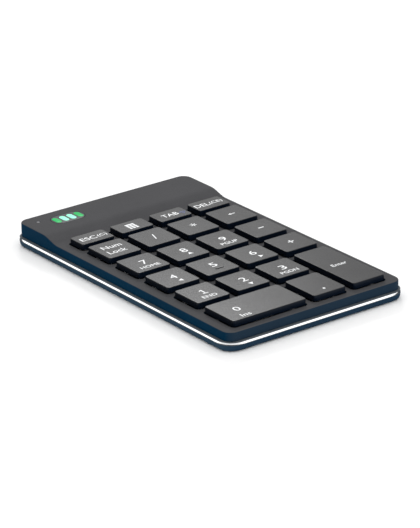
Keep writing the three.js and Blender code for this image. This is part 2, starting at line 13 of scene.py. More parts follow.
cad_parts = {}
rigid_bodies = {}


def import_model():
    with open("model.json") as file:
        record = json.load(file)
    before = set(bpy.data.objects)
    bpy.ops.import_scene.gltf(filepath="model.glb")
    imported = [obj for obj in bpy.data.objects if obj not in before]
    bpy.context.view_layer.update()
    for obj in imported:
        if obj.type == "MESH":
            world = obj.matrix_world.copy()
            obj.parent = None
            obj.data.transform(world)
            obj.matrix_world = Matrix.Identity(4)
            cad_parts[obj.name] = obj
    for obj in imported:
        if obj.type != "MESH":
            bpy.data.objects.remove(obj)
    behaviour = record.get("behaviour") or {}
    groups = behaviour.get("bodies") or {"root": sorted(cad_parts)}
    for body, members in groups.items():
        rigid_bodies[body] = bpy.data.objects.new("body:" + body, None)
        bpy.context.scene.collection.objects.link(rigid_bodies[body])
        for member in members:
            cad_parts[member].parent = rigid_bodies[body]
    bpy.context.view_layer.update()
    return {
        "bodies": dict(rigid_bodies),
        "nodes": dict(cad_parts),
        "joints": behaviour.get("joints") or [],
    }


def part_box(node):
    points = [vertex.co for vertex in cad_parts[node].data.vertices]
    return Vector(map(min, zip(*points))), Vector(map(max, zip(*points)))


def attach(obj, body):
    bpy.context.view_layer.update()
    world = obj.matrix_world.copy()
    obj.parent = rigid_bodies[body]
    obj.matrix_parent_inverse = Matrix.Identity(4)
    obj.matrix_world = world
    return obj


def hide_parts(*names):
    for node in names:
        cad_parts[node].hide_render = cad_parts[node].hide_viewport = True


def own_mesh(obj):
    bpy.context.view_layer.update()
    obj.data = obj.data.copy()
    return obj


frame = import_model()

MM = 0.001
CASE = "case"
SMOOTH_ANGLE = math.radians(35)

# ------------------------------------------------------------------ driving dimensions

# Key caps: wall, inward lean of the skirt, and edge radii
CAP_WALL = 0.9 * MM
CAP_LEAN = 0.12 * MM
CAP_SKIRT_HEIGHT = 2.39 * MM
CAP_CROWN = 1.09 * MM
CAP_CORNER = 1.25 * MM
CAP_EDGE = 0.25 * MM

# Print on the caps: ink thickness, extra weight of letters, font size for a capital, and sizes of signs
INK = 0.02 * MM
BOLD = 0.015 * MM
CAPITAL_RATIO = 1.37
DIGIT_HEIGHT = 3.7 * MM
DIGIT_WIDTH = 2.8 * MM
SIGN_LENGTH = 2.6 * MM
SIGN_STROKE = 0.6 * MM

# Upper cover
WALL = 1.4 * MM
SKIN = 1.2 * MM
COVER_CORNER = 4.1 * MM
COVER_EDGE = 0.4 * MM
DECK_DROP = 1.99 * MM
SLOPE_START = 43.1 * MM
SLOPE_END = 50.2 * MM
SLOPE_BLEND = 0.22
OPENING_GAP = 0.5 * MM
OPENING_EDGE = 0.15 * MM

# Lower case and the strip round its rim
LIP = 0.3 * MM
SEAM = 0.05 * MM
RIM_CORNER = 6.4 * MM
STRIP_DEPTH = 1.05 * MM
STRIP_SET_BACK = 0.1 * MM
STRIP_CORNER = RIM_CORNER + 1.8 * MM
FLOOR_TOP = 1.5 * MM
BELLY = 2.1 * MM
BELLY_IN = 0.85 * MM
SCREW_PLACES = [(side * 38.1 * MM, y * MM) for y in (-62, -8, 45.3) for side in (-1, 1)]
SCREW_HEAD = 1.6 * MM
SCREW_RECESS = 0.7 * MM

# Switches
LEVER_BAR = 0.9 * MM
LEVER_RISE = 2.4 * MM
DOME_BASE = 4.1 * MM
DOME_TOP = 8.45 * MM

# Studio: floor a hair under the feet, white surroundings, and one softbox high behind the right side
FLOOR_Z = -0.02 * MM
FLOOR_HALF = 2.5
WORLD_STRENGTH = 1.06
SOFTBOX_AT = Vector((0.36, 0.56, 0.44))
SOFTBOX_SIZE = (0.18, 0.07)
SOFTBOX_POWER = 1.25

# Camera, fitted to the view wanted
CAMERA_AZIMUTH = math.radians(-36.44)
CAMERA_ELEVATION = math.radians(22.32)
CAMERA_ROLL = math.radians(-1.06)
CAMERA_DISTANCE = 1252.6 * MM
CAMERA_TARGET = Vector((-9.49, -15.54, 10.09)) * MM
CAMERA_LENS = 222.7
CAMERA_SENSOR = 36
CAMERA_FAR = 20


# ------------------------------------------------------------------ mesh helpers

def outline(half_x, half_y, radius, z, centre=(0, 0), segments=8):
    """Points of a rounded rectangle, anticlockwise."""
    points = []
    for quarter, (sx, sy) in enumerate(((1, 1), (-1, 1), (-1, -1), (1, -1))):
        for step in range(segments + 1):
            angle = (quarter + step / segments) * math.pi / 2
            points.append(Vector((
                centre[0] + sx * (half_x - radius) + radius * math.cos(angle),
                centre[1] + sy * (half_y - radius) + radius * math.sin(angle),
                z,
            )))
    return points


def stack(half_x, half_y, radius, profile, centre=(0, 0), segments=8):
    """One rounded rectangle for each (inset, z) of a profile."""
    smallest = 0.05 * MM
    return [
        outline(half_x - inset, half_y - inset, max(radius - inset, smallest), z, centre, segments)
        for inset, z in profile
    ]


def circle(radius, z, centre=(0, 0), sides=24):
    turns = [2 * math.pi * i / sides for i in range(sides)]
    return [
        Vector((centre[0] + radius * math.cos(a), centre[1] + radius * math.sin(a), z))
        for a in turns
    ]


def arc(inset, z, radius, start, end, steps=4):
    """Profile points on an arc about (inset, z). 0 degrees faces outwards and 90 degrees up."""
    points = []
    for step in range(steps + 1):
        angle = math.radians(start + (end - start) * step / steps)
        points.append((inset - radius * math.cos(angle), z + radius * math.sin(angle)))
    return points


def new_object(name, bm):
    """Mesh object from a bmesh, with outward faces and smooth shading up to SMOOTH_ANGLE."""
    bmesh.ops.recalc_face_normals(bm, faces=bm.faces)
    mesh = bpy.data.meshes.new(name)
    bm.to_mesh(mesh)
    bm.free()
    mesh.shade_smooth()
    mesh.set_sharp_from_angle(angle=SMOOTH_ANGLE)
    piece = bpy.data.objects.new(name, mesh)
    bpy.context.scene.collection.objects.link(piece)
    return piece


def loft(bm, rings, loop=False):
    """Skin through rings of equal length: its ends are flat faces, or the last ring meets the first."""
    layers = [[bm.verts.new(point) for point in ring] for ring in rings]
    pairs = list(zip(layers, layers[1:]))
    if loop:
        pairs.append((layers[-1], layers[0]))
    for low, high in pairs:
        for i in range(len(low)):
            j = (i + 1) % len(low)
            bm.faces.new((low[i], low[j], high[j], high[i]))
    if not loop:
        bm.faces.new(list(reversed(layers[0])))
        bm.faces.new(layers[-1])
    return layers


def lofted(name, rings, loop=False):
    """New object skinned through rings."""
    bm = bmesh.new()
    loft(bm, rings, loop)
    return new_object(name, bm)


def cut(piece, cutters):
    """Takes closed shapes, each given by its rings, away from a piece."""
    bm = bmesh.new()
    for rings in cutters:
        loft(bm, rings)
    tool = new_object("cutter", bm)
    modifier = piece.modifiers.new("cut", "BOOLEAN")
    modifier.object = tool
    modifier.operation = "DIFFERENCE"
    modifier.solver = "EXACT"
    finish_mesh(piece)
    bpy.data.objects.remove(tool)


def finish_mesh(piece):
    """Applies a piece's modifiers to its mesh."""
    graph = bpy.context.evaluated_depsgraph_get()
    mesh = bpy.data.meshes.new_from_object(piece.evaluated_get(graph))
    piece.modifiers.clear()
    piece.data = mesh
    mesh.shade_smooth()
    mesh.set_sharp_from_angle(angle=SMOOTH_ANGLE)


def even_normals(piece):
    """Keeps large flat faces flat beside small rounded edges."""
    modifier = piece.modifiers.new("normals", "WEIGHTED_NORMAL")
    modifier.keep_sharp = True
    modifier.weight = 100


def place(piece, body, slot, material, *replaced):
    """Puts a piece on its body with a material, in place of the CAD nodes it replaces. The slot argument is
    not used.
    """
    piece.data.materials.clear()
    piece.data.materials.append(material)
    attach(piece, body)
    if replaced:
        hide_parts(*replaced)
    return piece


def centre_of(node):
    low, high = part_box(node)
    return (low + high) / 2


# ------------------------------------------------------------------ materials

def srgb(red, green, blue):
    """Linear colour from 0 to 255 screen values."""
    def linear(value):
        value /= 255
        return value / 12.92 if value <= 0.04045 else ((value + 0.055) / 1.055) ** 2.4
    return (linear(red), linear(green), linear(blue), 1.0)


class Finish:
    """A node material being put together around one Principled shader."""

    def __init__(self, name, roughness=0.5, metallic=0.0, specular=0.5):
        self.material = bpy.data.materials.new(name)
        self.material.use_nodes = True
        self.tree = self.material.node_tree
        self.shader = self.tree.nodes["Principled BSDF"]
        self.shader.inputs["Roughness"].default_value = roughness
        self.shader.inputs["Metallic"].default_value = metallic
        self.shader.inputs["Specular IOR Level"].default_value = specular
        self.place = self.node("ShaderNodeTexCoord").outputs["Object"]

    def node(self, kind, **settings):
        made = self.tree.nodes.new(kind)
        for name, value in settings.items():
            setattr(made, name, value)
        return made

    def link(self, output, target):
        self.tree.links.new(output, target)
        return output

    def noise(self, scale, detail=2.0, stretch=None):
        noise = self.node("ShaderNodeTexNoise")
        noise.inputs["Scale"].default_value = scale
        noise.inputs["Detail"].default_value = detail
        source = self.place
        if stretch:
            mapping = self.node("ShaderNodeMapping")
            mapping.inputs["Scale"].default_value = stretch
            self.link(self.place, mapping.inputs["Vector"])
            source = mapping.outputs["Vector"]
        self.link(source, noise.inputs["Vector"])
        return noise.outputs["Fac"]

    def ramp(self, source, stops):
        ramp = self.node("ShaderNodeValToRGB")
        elements = ramp.color_ramp.elements
        for index, (position, colour) in enumerate(stops):
            element = elements[index] if index < 2 else elements.new(position)
            element.position = position
            element.color = colour
        self.link(source, ramp.inputs["Fac"])
        return ramp.outputs["Color"]

    def mix(self, factor, first, second, blend="MIX"):
        mix = self.node("ShaderNodeMix", data_type="RGBA", blend_type=blend)
        for source, socket in ((factor, mix.inputs[0]), (first, mix.inputs[6]), (second, mix.inputs[7])):
            if hasattr(source, "node"):
                self.link(source, socket)
            else:
                socket.default_value = source
        return mix.outputs[2]

    def bumps(self, source, height):
        bump = self.node("ShaderNodeBump")
        bump.inputs["Distance"].default_value = height
        self.link(source, bump.inputs["Height"])
        self.link(bump.outputs["Normal"], self.shader.inputs["Normal"])

    def vary_roughness(self, source, low, high):
        spread = self.node("ShaderNodeMapRange")
        spread.inputs["To Min"].default_value = low
        spread.inputs["To Max"].default_value = high
        self.link(source, spread.inputs["Value"])
        self.link(spread.outputs["Result"], self.shader.inputs["Roughness"])

    def facing(self, axis, low, high):
        """0 to 1 as the surface's own direction turns towards +axis."""
        split = self.node("ShaderNodeSeparateXYZ")
        self.link(self.node("ShaderNodeTexCoord").outputs["Normal"], split.inputs["Vector"])
        spread = self.node("ShaderNodeMapRange")
        spread.inputs["From Min"].default_value = low
        spread.inputs["From Max"].default_value = high
        self.link(split.outputs[axis], spread.inputs["Value"])
        return spread.outputs["Result"]

    def colour(self, output):
        self.link(output, self.shader.inputs["Base Color"])


def shade(colour, factor):
    return tuple(channel * factor for channel in colour[:3]) + (1.0,)


def moulded_plastic(name, top, side, front, roughness, grain=0.012 * MM, upness=(0.55, 0.9), specular=0.5):
    """Spark-eroded matte plastic: fine pits, faint mottling, and separate tones for level faces,
    front-facing walls and other walls, which paint the light and shade each facing gets into the plastic's
    colour.
    """
    finish = Finish(name, roughness, specular=specular)
    cloud = finish.noise(60, 3)
    fine = finish.noise(5200, 2)
    # Painted light and shade: level faces, walls facing front and other walls each get their own tone, as
    # light falls on that facing.
    painted_wall_tones = finish.mix(finish.facing("Y", -0.3, -0.95), side, front)
    base = finish.mix(finish.facing("Z", *upness), painted_wall_tones, top)
    mottle = finish.ramp(cloud, [(0.3, (0.93, 0.93, 0.93, 1)), (0.7, (1.05, 1.05, 1.05, 1))])
    tinted = finish.mix(1.0, base, mottle, "MULTIPLY")
    specks = finish.ramp(fine, [(0.35, (0.9, 0.9, 0.9, 1)), (0.65, (1.08, 1.08, 1.08, 1))])
    finish.colour(finish.mix(1.0, tinted, specks, "MULTIPLY"))
    finish.vary_roughness(cloud, roughness - 0.05, roughness + 0.05)
    finish.bumps(fine, grain)
    return finish.material


def gloss_white():
    """White plastic of the strip, with a painted glow of its own that keeps it clean white."""
    finish = Finish("strip_white", 0.3)
    cloud = finish.noise(300, 2)
    finish.colour(finish.ramp(cloud, [(0.3, srgb(246, 246, 246)), (0.7, srgb(255, 255, 255))]))
    finish.vary_roughness(cloud, 0.26, 0.36)
    # Painted light: the strip glows a little although it is no lamp.
    finish.shader.inputs["Emission Color"].default_value = (1, 1, 1, 1)
    finish.shader.inputs["Emission Strength"].default_value = 0.25
    return finish.material


def ink(name, colour, painted_glow=0.0):
    """Screen-printed ink, a little uneven in cover, with an optional painted glow of its own."""
    finish = Finish(name, 0.55)
    cover = finish.noise(2600, 3)
    finish.colour(finish.ramp(cover, [(0.25, shade(colour, 0.86)), (0.6, colour)]))
    finish.bumps(cover, 0.004 * MM)
    finish.shader.inputs["Emission Color"].default_value = colour
    finish.shader.inputs["Emission Strength"].default_value = painted_glow
    return finish.material


def metal(name, colour, roughness):
    """Metal with fine lines drawn along it."""
    finish = Finish(name, roughness, metallic=1.0)
    lines = finish.noise(900, 3, stretch=(1, 30, 1))
    finish.colour(finish.ramp(lines, [(0.3, shade(colour, 0.82)), (0.7, colour)]))
    finish.vary_roughness(lines, roughness - 0.06, roughness + 0.1)
    finish.bumps(lines, 0.004 * MM)
    return finish.material


def rubber(name, colour, roughness, grain=0.02 * MM):
    """Rubber or film with fine pores."""
    finish = Finish(name, roughness, specular=0.3)
    pores = finish.noise(2800, 3)
    finish.colour(finish.ramp(pores, [(0.3, shade(colour, 0.8)), (0.7, colour)]))
    finish.vary_roughness(pores, roughness - 0.08, min(roughness + 0.08, 1.0))
    finish.bumps(pores, grain)
    return finish.material


def board_mask():
    """Green solder mask with copper tracks showing as a slightly lighter pattern."""
    finish = Finish("board_green", 0.35)
    tracks = finish.node("ShaderNodeTexBrick")
    tracks.inputs["Scale"].default_value = 260
    tracks.inputs["Mortar Size"].default_value = 0.08
    tracks.inputs["Color1"].default_value = srgb(18, 84, 48)
    tracks.inputs["Color2"].default_value = srgb(14, 72, 42)
    tracks.inputs["Mortar"].default_value = srgb(38, 118, 70)
    finish.link(finish.place, tracks.inputs["Vector"])
    finish.colour(tracks.outputs["Color"])
    finish.bumps(tracks.outputs["Fac"], 0.01 * MM)
    return finish.material


def foil_pouch():
    """Laminated foil of a battery, slightly creased."""
    finish = Finish("pouch_foil", 0.3, metallic=0.7)
    creases = finish.noise(220, 4)
    finish.colour(finish.ramp(creases, [(0.3, srgb(168, 172, 178)), (0.7, srgb(206, 209, 213))]))
    finish.vary_roughness(creases, 0.22, 0.42)
    finish.bumps(creases, 0.06 * MM)
    return finish.material


def lit_lens(name, colour, strength):
    """Window lit from behind, a little cloudy."""
    finish = Finish(name, 0.3, specular=0.05)
    cloud = finish.noise(900, 2)
    tint = finish.ramp(cloud, [(0.3, shade(colour, 0.88)), (0.7, colour)])
    finish.colour(tint)
    finish.link(tint, finish.shader.inputs["Emission Color"])
    finish.shader.inputs["Emission Strength"].default_value = strength
    finish.bumps(cloud, 0.004 * MM)
    return finish.material


MATERIALS = {
    # The top, side and front tones of the moulded plastics are partly each plastic's colour and partly
    # painted light and shade for that facing.
    "cover": moulded_plastic(
        "cover_plastic", srgb(74, 74, 76), srgb(1, 39, 61), srgb(32, 48, 63), 0.6, specular=0.02),
    "lower": moulded_plastic(
        "lower_case_plastic", srgb(86, 92, 97), srgb(42, 62, 78), srgb(32, 53, 72), 0.5, specular=0.015),
    "cap": moulded_plastic(
        "keycap_plastic", srgb(45, 45, 46), srgb(4, 9, 18), srgb(9, 19, 32), 0.25,
        upness=(0.2, 0.6), specular=0.11),
    "dark": moulded_plastic("dark_plastic", srgb(30, 30, 32), srgb(22, 23, 26), srgb(22, 23, 26), 0.45),
    "lever": moulded_plastic(
        "lever_plastic", srgb(150, 152, 155), srgb(120, 122, 126), srgb(120, 122, 126), 0.35),
    "strip": gloss_white(),
    # Painted light: the white legend ink glows a little.
    "legend": ink("legend_ink", srgb(240, 242, 243), 0.05),
    "blue_ink": ink("legend_ink_blue", srgb(48, 66, 128)),
    "plate": metal("black_steel", srgb(40, 40, 42), 0.42),
    "steel": metal("steel", srgb(186, 188, 190), 0.28),
    "gold": metal("contact_gold", srgb(214, 176, 92), 0.25),
    "silicone": rubber("silicone", srgb(120, 122, 120), 0.5, 0.005 * MM),
    "foot": rubber("foot_rubber", srgb(26, 26, 27), 0.85),
    "film": rubber("switch_film", srgb(150, 158, 156), 0.3, 0.002 * MM),
    "board": board_mask(),
    "pouch": foil_pouch(),
    "smoke": moulded_plastic(
        "smoked_lens", srgb(72, 74, 76), srgb(60, 62, 64), srgb(60, 62, 64), 0.35,
        grain=0.004 * MM, specular=0.05),
    "lit_green": lit_lens("status_green", srgb(0, 168, 84), 0.3),
    "lit_mint": lit_lens("status_mint", srgb(140, 226, 196), 0.45),
    "pale_lens": lit_lens("charge_lens", srgb(122, 122, 124), 0.0),
}


# ------------------------------------------------------------------ key caps and their legends

def cap_shell(name, node):
    """Hollow cap: leaning skirt, rounded top edge and a thin lip underneath."""
    low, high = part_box(node)
    centre = ((low.x + high.x) / 2, (low.y + high.y) / 2)
    half_x = (high.x - low.x) / 2
    half_y = (high.y - low.y) / 2
    top = high.z
    skirt = top - CAP_SKIRT_HEIGHT
    lip = 0.12 * MM
    inner = CAP_WALL
    profile = [(inner + 0.9 * MM, top - CAP_CROWN)]
    profile += [(inner + 0.3 * MM, top - CAP_CROWN), (inner + 0.15 * MM, top - CAP_CROWN - 0.2 * MM)]
    profile += [(inner, skirt + lip)]
    profile += arc(inner - lip, skirt + lip, -lip, 0, 90, 2)
    profile += arc(lip, skirt + lip, lip, -90, 0, 2)
    profile += arc(CAP_LEAN + CAP_EDGE * 0.9, top - CAP_EDGE, CAP_EDGE, 4, 90, 5)
    profile += [(CAP_LEAN + CAP_EDGE + 0.25 * MM, top)]
    piece = lofted(name, stack(half_x, half_y, CAP_CORNER, profile, centre))
    even_normals(piece)
    return piece


def letters(bm, words, x, y, z, width, height):
    """Adds a line of print to a bmesh, centred on (x, y) and fitted to a width and height."""
    curve = bpy.data.curves.new("print", "FONT")
    curve.body = words
    curve.size = CAPITAL_RATIO * height
    curve.offset = BOLD
    curve.extrude = INK / 2
    curve.resolution_u = 4
    writer = bpy.data.objects.new("print", curve)
    bpy.context.scene.collection.objects.link(writer)
    graph = bpy.context.evaluated_depsgraph_get()
    mesh = bpy.data.meshes.new_from_object(writer.evaluated_get(graph))
    across = [vertex.co.x for vertex in mesh.vertices]
    along = [vertex.co.y for vertex in mesh.vertices]
    scale = (width / (max(across) - min(across)), height / (max(along) - min(along)), 1, 1)
    middle = ((max(across) + min(across)) / 2, (max(along) + min(along)) / 2, 0)
    mesh.transform(
        Matrix.Translation((x, y, z + INK / 4))
        @ Matrix.Diagonal(scale)
        @ Matrix.Translation(-Vector(middle)))
    bm.from_mesh(mesh)
    bpy.data.objects.remove(writer)
    bpy.data.meshes.remove(mesh)


def flat_shape(bm, points, x, y, z):
    """Adds a thin printed shape from its outline points."""
    bottom = [Vector((x + px, y + py, z - INK / 4)) for px, py in points]
    loft(bm, [bottom, [p + Vector((0, 0, INK)) for p in bottom]])


def bar(width, height, x=0.0, y=0.0):
    """Outline of a rectangle about (x, y)."""
    w, h = width / 2, height / 2
    return [(x - w, y - h), (x + w, y - h), (x + w, y + h), (x - w, y + h)]


def triangle(size, turn):
    """Outline of an arrow head about the origin, pointing along an angle in radians."""
    points = []
    for corner in range(3):
        angle = turn + corner * 2 * math.pi / 3
        points.append((size * math.cos(angle), size * math.sin(angle)))
    return points


def arc_band(radius, width, start, end):
    """Outline of a curved stroke about the origin, between two angles in degrees."""
    steps = 8
    turns = [math.radians(start + (end - start) * i / steps) for i in range(steps + 1)]
    outer, inner = radius + width / 2, radius - width / 2
    far_side = [(outer * math.cos(a), outer * math.sin(a)) for a in turns]
    near_side = [(inner * math.cos(a), inner * math.sin(a)) for a in turns]
    return far_side + near_side[::-1]


UP, LEFT, DOWN, RIGHT = (math.radians(angle) for angle in (90, 180, 270, 0))

# Second line of each digit key, in millimetres: a word with its width, or an arrow with its place and turn
BELOW_WORDS = {"7": ("HOME", 8.9), "9": ("PGUP", 7.8), "1": ("END", 6.6), "3": ("PGDN", 8.2)}
BELOW_ARROWS = {
    "8": (0.8, -3.7, UP),
    "4": (1.2, -4.1, LEFT),
    "6": (1.2, -4.1, RIGHT),
    "2": (0.8, -4.3, DOWN),
}

# Print of the other keys: words, place of their centre, width and height in millimetres
WORDS = {
    "escape": [("ESC", -2.1, -0.4, 7.4, 2.9), ("(C)", 4.4, -0.5, 4.2, 2.8)],
    "delete": [("DEL", -3.4, -0.1, 6.8, 2.9), ("(CE)", 3.4, -0.2, 6.0, 2.8)],
    "tab": [("TAB", -0.45, -0.3, 7.5, 2.8)],
    "num_lock": [("Num", 0.0, 2.4, 8.8, 3.0), ("Lock", -0.7, -2.8, 8.4, 3.0)],
    "divide": [("/", 0.1, 0.1, 1.8, 4.6)],
    "enter": [("Enter", 0.3, 0.3, 7.0, 2.2)],
    "0": [("0", -9.05, -0.3, 2.8, 3.6), ("Ins", -9.4, -6.4, 4.4, 2.4)],
}


def digit_legend(bm, key, x, y, z):
    """A figure with its word or arrow below."""
    if key == "1":
        figure_one(bm, x + 0.6 * MM, y + 0.3 * MM, z)
    else:
        letters(bm, key, x + 0.5 * MM, y + 0.3 * MM, z, DIGIT_WIDTH, DIGIT_HEIGHT)
    if key in BELOW_WORDS:
        words, width = BELOW_WORDS[key]
        letters(bm, words, x + 0.3 * MM, y - 4.3 * MM, z, width * MM, 2.1 * MM)
    elif key in BELOW_ARROWS:
        dx, dy, turn = BELOW_ARROWS[key]
        flat_shape(bm, triangle(1.25 * MM, turn), x + dx * MM, y + dy * MM, z)


def figure_one(bm, x, y, z):
    """Figure one with a flag and a foot."""
    top = DIGIT_HEIGHT / 2
    stroke = 0.28 * MM
    reach = 1.25 * MM
    flag = [(-stroke, top), (-reach, top - 0.75 * MM), (-reach, top - 1.2 * MM), (-stroke, top - 0.6 * MM)]
    flat_shape(bm, flag, x, y, z)
    flat_shape(bm, bar(2 * stroke, DIGIT_HEIGHT - stroke), x, y + stroke / 2, z)
    flat_shape(bm, bar(2 * reach, 1.6 * stroke), x, y - top + 0.8 * stroke, z)


def function_legend(bm, key, x, y, z):
    """Words and signs of the keys that aren't single digits."""
    for words, dx, dy, width, height in WORDS.get(key, ()):
        letters(bm, words, x + dx * MM, y + dy * MM, z, width * MM, height * MM)
    if key == "calculator":
        calculator_icon(bm, x - 0.3 * MM, y - 0.5 * MM, z)
    elif key == "multiply":
        for turn in (30, 90, 150):
            a = math.radians(turn)
            spoke = [
                (px * math.cos(a) - py * math.sin(a), px * math.sin(a) + py * math.cos(a))
                for px, py in bar(2.8 * MM, 0.36 * MM)
            ]
            flat_shape(bm, spoke, x + 0.3 * MM, y + 0.45 * MM, z)
    elif key == "backspace":
        flat_shape(bm, bar(2.0 * MM, 0.4 * MM, 0.9 * MM), x, y + 0.35 * MM, z)
        flat_shape(bm, triangle(0.85 * MM, LEFT), x - 0.5 * MM, y + 0.35 * MM, z)
    elif key == "minus":
        flat_shape(bm, bar(SIGN_LENGTH, SIGN_STROKE), x + 0.3 * MM, y + 0.2 * MM, z)
    elif key == "plus":
        flat_shape(bm, bar(SIGN_LENGTH, SIGN_STROKE), x + 0.3 * MM, y + 0.2 * MM, z)
        flat_shape(bm, bar(SIGN_STROKE, SIGN_LENGTH), x + 0.3 * MM, y + 0.2 * MM, z)
    elif key == "decimal":
        flat_shape(bm, arc_band(0.3 * MM, 0.6 * MM, 0, 330), x, y - 5.3 * MM, z)


def calculator_icon(bm, x, y, z):
    """A display bar over three rows of three keys."""
    cell_x, cell_y = 1.16 * MM, 0.92 * MM
    step_x, step_y = 1.5 * MM, 1.24 * MM
    flat_shape(bm, bar(2 * step_x + cell_x, cell_y), x, y + 1.5 * step_y, z)
    for row in range(3):
        for column in (-1, 0, 1):
            flat_shape(bm, bar(cell_x, cell_y), x + column * step_x, y + (0.5 - row) * step_y, z)


def wireless_sign(x, y, z):
    """A dot with two arcs above it."""
    bm = bmesh.new()
    flat_shape(bm, arc_band(0.2 * MM, 0.4 * MM, 0, 330), x, y - 1.0 * MM, z)
    for radius in (1.0, 1.9):
        flat_shape(bm, arc_band(radius * MM, 0.42 * MM, 40, 140), x, y - 1.0 * MM, z)
    return new_object("wireless_sign", bm)


def homing_bar(x, y, z):
    """Low rounded ridge that fingers find the middle key by."""
    height = 0.24 * MM
    profile = [(0, z - 0.05 * MM), (0.02 * MM, z + 0.1 * MM), (0.12 * MM, z + height)]
    return lofted("homing_bar", stack(1.9 * MM, 0.36 * MM, 0.34 * MM, profile, (x, y), 5))


def build_key(key):
    """A cap with its print, and the homing bar or wireless sign of the keys that have one."""
    node = f"keycap_{key}"
    cap = cap_shell(f"cap_{key}", node)
    place(cap, node, "keycap_plastic", MATERIALS["cap"], node)
    centre = centre_of(node)
    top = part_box(node)[1].z
    bm = bmesh.new()
    if key.isdigit() and key != "0":
        digit_legend(bm, key, centre.x, centre.y, top)
    else:
        function_legend(bm, key, centre.x, centre.y, top)
    place(new_object(f"legend_{key}", bm), node, "legend_print", MATERIALS["legend"])
    if key == "5":
        ridge = homing_bar(centre.x + 0.6 * MM, centre.y - 3.75 * MM, top)
        # Painted shade: the ridge takes a darker plastic than its cap, for the dark line its shaded side
        # shows.
        place(ridge, node, "keycap_plastic", MATERIALS["dark"])
    if key == "tab":
        sign = wireless_sign(centre.x + 5.4 * MM, centre.y - 1.1 * MM, top)
        place(sign, node, "legend_print", MATERIALS["blue_ink"])


# ------------------------------------------------------------------ switches under the caps

def bar_section(size):
    """Profile round a lever's bar: an octagon of (inset, height)."""
    half = size / 2
    chamfer = size * 0.28
    return [
        (0, -half + chamfer), (0, half - chamfer), (chamfer, half), (size - chamfer, half),
        (size, half - chamfer), (size, -half + chamfer), (size - chamfer, -half), (chamfer, -half),
    ]


def lever_frame(name, half_width, length, size):
    """Flat rectangular frame about the origin, long in Y."""
    return lofted(name, stack(half_width, length / 2, 1.1 * MM, bar_section(size), segments=4), loop=True)


def lever_facts(key):
    """Where a lever turns, the way it points in plan, its reach and half width."""
    joint = next(j for j in frame["joints"] if j["name"] == f"lever_{key}")
    low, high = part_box(f"scissor_{key}")
    along_x = abs(joint["axis"][1]) > 0.5
    size = high - low
    span, width = (size.x, size.y) if along_x else (size.y, size.x)
    turn = math.pi / 2 if along_x else 0
    return Vector(joint["pos_m"]), turn, span - 1.1 * LEVER_BAR, width / 2


def build_switch(key):
    """Outer lever on its own joint, and the inner lever and rubber dome, fixed on the case."""
    pivot, turn, reach, half_width = lever_facts(key)
    tilt = math.atan2(LEVER_RISE, reach)
    length = math.hypot(reach, LEVER_RISE) + LEVER_BAR
    spin = Matrix.Rotation(turn, 4, "Z")
    mid = Matrix.Translation((0, -(length - LEVER_BAR) / 2, 0))

    outer = lever_frame(f"lever_outer_{key}", half_width, length, LEVER_BAR)
    outer.data.transform(Matrix.Translation(pivot) @ spin @ Matrix.Rotation(-tilt, 4, "X") @ mid)
    place(outer, f"scissor_{key}", "lever_plastic", MATERIALS["lever"], f"scissor_{key}")

    inner = lever_frame(f"lever_inner_{key}", half_width - 1.2 * MM, length, 0.8 * MM)
    far = Matrix.Translation((0, -reach, 0)) @ Matrix.Rotation(math.pi, 4, "Z")
    inner.data.transform(
        Matrix.Translation(pivot) @ spin @ far @ Matrix.Rotation(-tilt, 4, "X") @ mid)
    place(inner, CASE, "lever_plastic", MATERIALS["lever"])
    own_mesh(inner)

    centre = centre_of(f"keycap_{key}")
    radius = 2.2 * MM if half_width < 4 * MM else 3.3 * MM
    dome = rubber_dome(f"dome_{key}", centre, radius)
    place(dome, CASE, "silicone", MATERIALS["silicone"], "dome_mat")
    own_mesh(dome)


def rubber_dome(name, centre, radius):
    """Thin rubber bell with a rounded shoulder and a flat crown."""
    wall = 0.45 * MM
    height = DOME_TOP - DOME_BASE
    crown = 1.5 * MM
    bell = [(radius, 0), (radius, 0.12), (radius * 0.93, 0.2), (crown + 0.35 * MM, 0.8)]
    bell += [(crown + 0.2 * MM, 0.95), (crown, 1.0)]
    inside = [(crown - 0.4 * MM, 0.8), (radius * 0.93 - wall, 0.16), (radius - wall, 0.0)]
    rings = [
        circle(r, DOME_BASE + share * height, (centre.x, centre.y)) for r, share in inside + bell
    ]
    return lofted(name, rings)


def build_dome_sheet():
    """Flat sheet that the domes stand on."""
    low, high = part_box("dome_mat")
    half_x = (high.x - low.x) / 2
    half_y = (high.y - low.y) / 2
    centre = ((low.x + high.x) / 2, (low.y + high.y) / 2)
    top = DOME_BASE - 0.02 * MM
    profile = [(0.05 * MM, low.z), (0, low.z + 0.1 * MM), (0, top - 0.08 * MM), (0.08 * MM, top)]
    sheet = lofted("dome_sheet", stack(half_x, half_y, 1.5 * MM, profile, centre))
    place(sheet, CASE, "silicone", MATERIALS["silicone"], "dome_mat")


# ------------------------------------------------------------------ upper cover

def cover_height(y, hump, deck):
    """Height of the cover's top at y: deck, soft slope, raised bay."""
    def summed(t):
        return 0 if t < 0 else t * t / 2 if t < 1 else t - 0.5
    t = (y - SLOPE_START) / (SLOPE_END - SLOPE_START)
    share = (summed(t + SLOPE_BLEND) - summed(t - SLOPE_BLEND)) / (2 * SLOPE_BLEND)
    return deck + (hump - deck) * share


def cover_ring(half_x, half_y, radius, inset, height_at, sides):
    """Outline following the cover's top: right side from front to back, then the left side."""
    radius = max(radius - inset, 0.2 * MM)
    middle_x = half_x - inset - radius
    middle_y = half_y - inset - radius
    segments = 12

    def corner(y, start):
        angles = [math.radians(start + 90 * step / segments) for step in range(segments + 1)]
        return [(middle_x + radius * math.cos(a), y + radius * math.sin(a)) for a in angles]

    right = corner(-middle_y, -90) + [(half_x - inset, y) for y in sides] + corner(middle_y, 0)
    left = [(-x, y) for x, y in reversed(right)]
    return [Vector((x, y, height_at(y))) for x, y in right + left]


def bridge_sides(bm, ring, facing_up):
    """Fills a cover ring with strips from its right side to its left."""
    count = len(ring) // 2
    for i in range(count - 1):
        corners = (ring[i], ring[i + 1], ring[-2 - i], ring[-1 - i])
        bm.faces.new(corners if facing_up else tuple(reversed(corners)))


